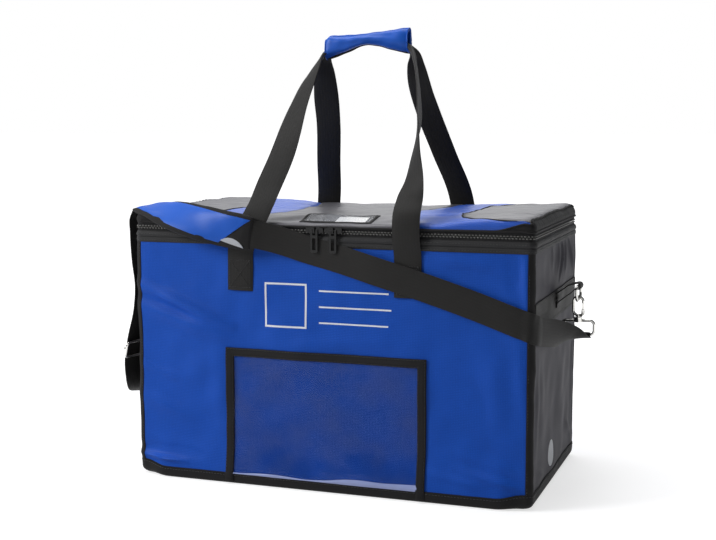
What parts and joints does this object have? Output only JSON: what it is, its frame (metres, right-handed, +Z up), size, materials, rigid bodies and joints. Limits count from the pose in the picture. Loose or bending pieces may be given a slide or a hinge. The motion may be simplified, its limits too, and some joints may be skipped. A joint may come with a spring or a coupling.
{
  "type": "specimen transport box",
  "caption": "Soft-sided insulated carrier with a zipped hinged lid, document pocket, joined carrying handles and a clip-on padded shoulder strap.",
  "frame": {"origin": "centre of the underside of the base, on the surface that the carrier stands on", "axes": "+Z up, -Y towards the front with the document pocket, +X to the right as seen from the front, along the long side"},
  "size_m": [0.6878, 0.3406, 0.636],
  "materials": {
    "base_board": "stiff plastic sheet",
    "black_trim": "coarse black polyester binding",
    "blue_polyester": "fine plain-weave polyester",
    "card_frame": "clear vinyl with a dark edge",
    "chrome": "polished nickel plate",
    "clear_vinyl": "clear flexible vinyl",
    "foam": "closed-cell foam",
    "grey_polyester": "satin grey polyester",
    "grip_fabric": "padded polyester",
    "liner_film": "wipe-clean reflective film",
    "pad_fabric": "padded polyester with a black edge",
    "webbing": "woven black webbing",
    "zip_slider": "gloss black enamel",
    "zip_tape": "woven zip tape",
    "zip_teeth": "coil teeth"
  },
  "bodies": {
    "carrier": {"base_tray": "black_trim", "base_board": "base_board", "base_foam": "foam", "front_panel": "blue_polyester", "back_panel": "blue_polyester", "left_panel": "grey_polyester", "right_panel": "grey_polyester", "corner_bindings": "black_trim", "rim_band": "black_trim", "front_foam": "foam", "back_foam": "foam", "left_foam": "foam", "right_foam": "foam", "inner_liner": "liner_film", "hinge_strip": "zip_tape", "lower_zip_tape": "zip_tape", "lower_zip_teeth": "zip_teeth", "pocket_binding": "black_trim", "pocket_window": "clear_vinyl", "front_handle_ends": "webbing", "rear_handle_ends": "webbing", "left_side_band": "webbing", "right_side_band": "webbing", "right_ring_tab": "webbing", "left_ring_tab": "webbing", "right_swivel_base": "chrome", "left_swivel_base": "chrome", "shoulder_strap": "webbing", "shoulder_pad": "pad_fabric", "strap_adjuster": "chrome"},
    "lid": {"lid_border": "black_trim", "lid_centre_panel": "grey_polyester", "lid_wing_panels": "blue_polyester", "lid_end_panels": "grey_polyester", "lid_foam": "foam", "lid_liner": "liner_film", "lid_piping": "black_trim", "card_holder_frame": "card_frame", "card_window": "clear_vinyl", "upper_zip_tape": "zip_tape", "upper_zip_teeth": "zip_teeth"},
    "front_handle_loop": {"front_handle": "webbing", "grip_wrap": "grip_fabric"},
    "rear_handle_loop": {"rear_handle": "webbing", "grip_flap": "grip_fabric"},
    "left_slider": {"left_zip_slider": "zip_slider"},
    "right_slider": {"right_zip_slider": "zip_slider"},
    "left_puller": {"left_zip_puller": "zip_slider"},
    "right_puller": {"right_zip_puller": "zip_slider"},
    "right_ring": {"right_d_ring": "chrome"},
    "left_ring": {"left_d_ring": "chrome"},
    "right_hook": {"right_snap_hook": "chrome"},
    "left_hook": {"left_snap_hook": "chrome"},
    "right_gate": {"right_hook_gate": "chrome"},
    "left_gate": {"left_hook_gate": "chrome"}
  },
  "joints": [
    {"name": "lid_hinge", "type": "hinge", "parent": "carrier", "child": "lid", "pos_m": [0, 0.151, 0.37], "axis": [-1, 0, 0], "range_deg": [0, 94], "deforming": ["shoulder_strap", "shoulder_pad"]},
    {"name": "front_handle_fold", "type": "hinge", "parent": "carrier", "child": "front_handle_loop", "pos_m": [0, -0.1613, 0.362], "axis": [1, 0, 0], "range_deg": [0, 178.6]},
    {"name": "rear_handle_fold", "type": "hinge", "parent": "carrier", "child": "rear_handle_loop", "pos_m": [0, 0.1613, 0.362], "axis": [-1, 0, 0], "range_deg": [0, 178.6]},
    {"name": "left_slider_travel", "type": "slide", "parent": "carrier", "child": "left_slider", "axis": [1, 0, 0], "range_m": [-0.25, 0], "deforming": ["front_handle_ends", "shoulder_strap", "shoulder_pad"]},
    {"name": "right_slider_travel", "type": "slide", "parent": "carrier", "child": "right_slider", "axis": [1, 0, 0], "range_m": [0, 0.25], "deforming": ["front_handle_ends", "shoulder_strap"]},
    {"name": "left_puller_swing", "type": "hinge", "parent": "left_slider", "child": "left_puller", "pos_m": [-0.0125, -0.15615, 0.3625], "axis": [-1, 0, 0], "range_deg": [0, 150]},
    {"name": "right_puller_swing", "type": "hinge", "parent": "right_slider", "child": "right_puller", "pos_m": [0.0145, -0.15615, 0.3625], "axis": [-1, 0, 0], "range_deg": [0, 150]},
    {"name": "right_ring_swing", "type": "hinge", "parent": "carrier", "child": "right_ring", "pos_m": [0.32, 0, 0.281], "axis": [0, 1, 0], "range_deg": [-3, 3]},
    {"name": "right_hook_swivel", "type": "hinge", "parent": "carrier", "child": "right_hook", "pos_m": [0.32, 0, 0.25], "axis": [0, 0, 1], "range_deg": [-20, 20]},
    {"name": "right_gate_press", "type": "hinge", "parent": "right_hook", "child": "right_gate", "pos_m": [0.3266, 0, 0.246], "axis": [0, -1, 0], "range_deg": [0, 25], "stiffness_Nm_per_rad": 0.02, "springref_deg": -28.65},
    {"name": "left_ring_swing", "type": "hinge", "parent": "carrier", "child": "left_ring", "pos_m": [-0.32, 0, 0.281], "axis": [0, 1, 0], "range_deg": [-3, 3]},
    {"name": "left_hook_swivel", "type": "hinge", "parent": "carrier", "child": "left_hook", "pos_m": [-0.32, 0, 0.25], "axis": [0, 0, 1], "range_deg": [-20, 20]},
    {"name": "left_gate_press", "type": "hinge", "parent": "left_hook", "child": "left_gate", "pos_m": [-0.3266, 0, 0.246], "axis": [0, 1, 0], "range_deg": [0, 25], "stiffness_Nm_per_rad": 0.02, "springref_deg": -28.65}
  ],
  "couplings": [
    {"joint": "front_handle_fold", "follows": "lid_hinge", "ratio": 1.9},
    {"joint": "rear_handle_fold", "follows": "lid_hinge", "ratio": 1.9}
  ]
}
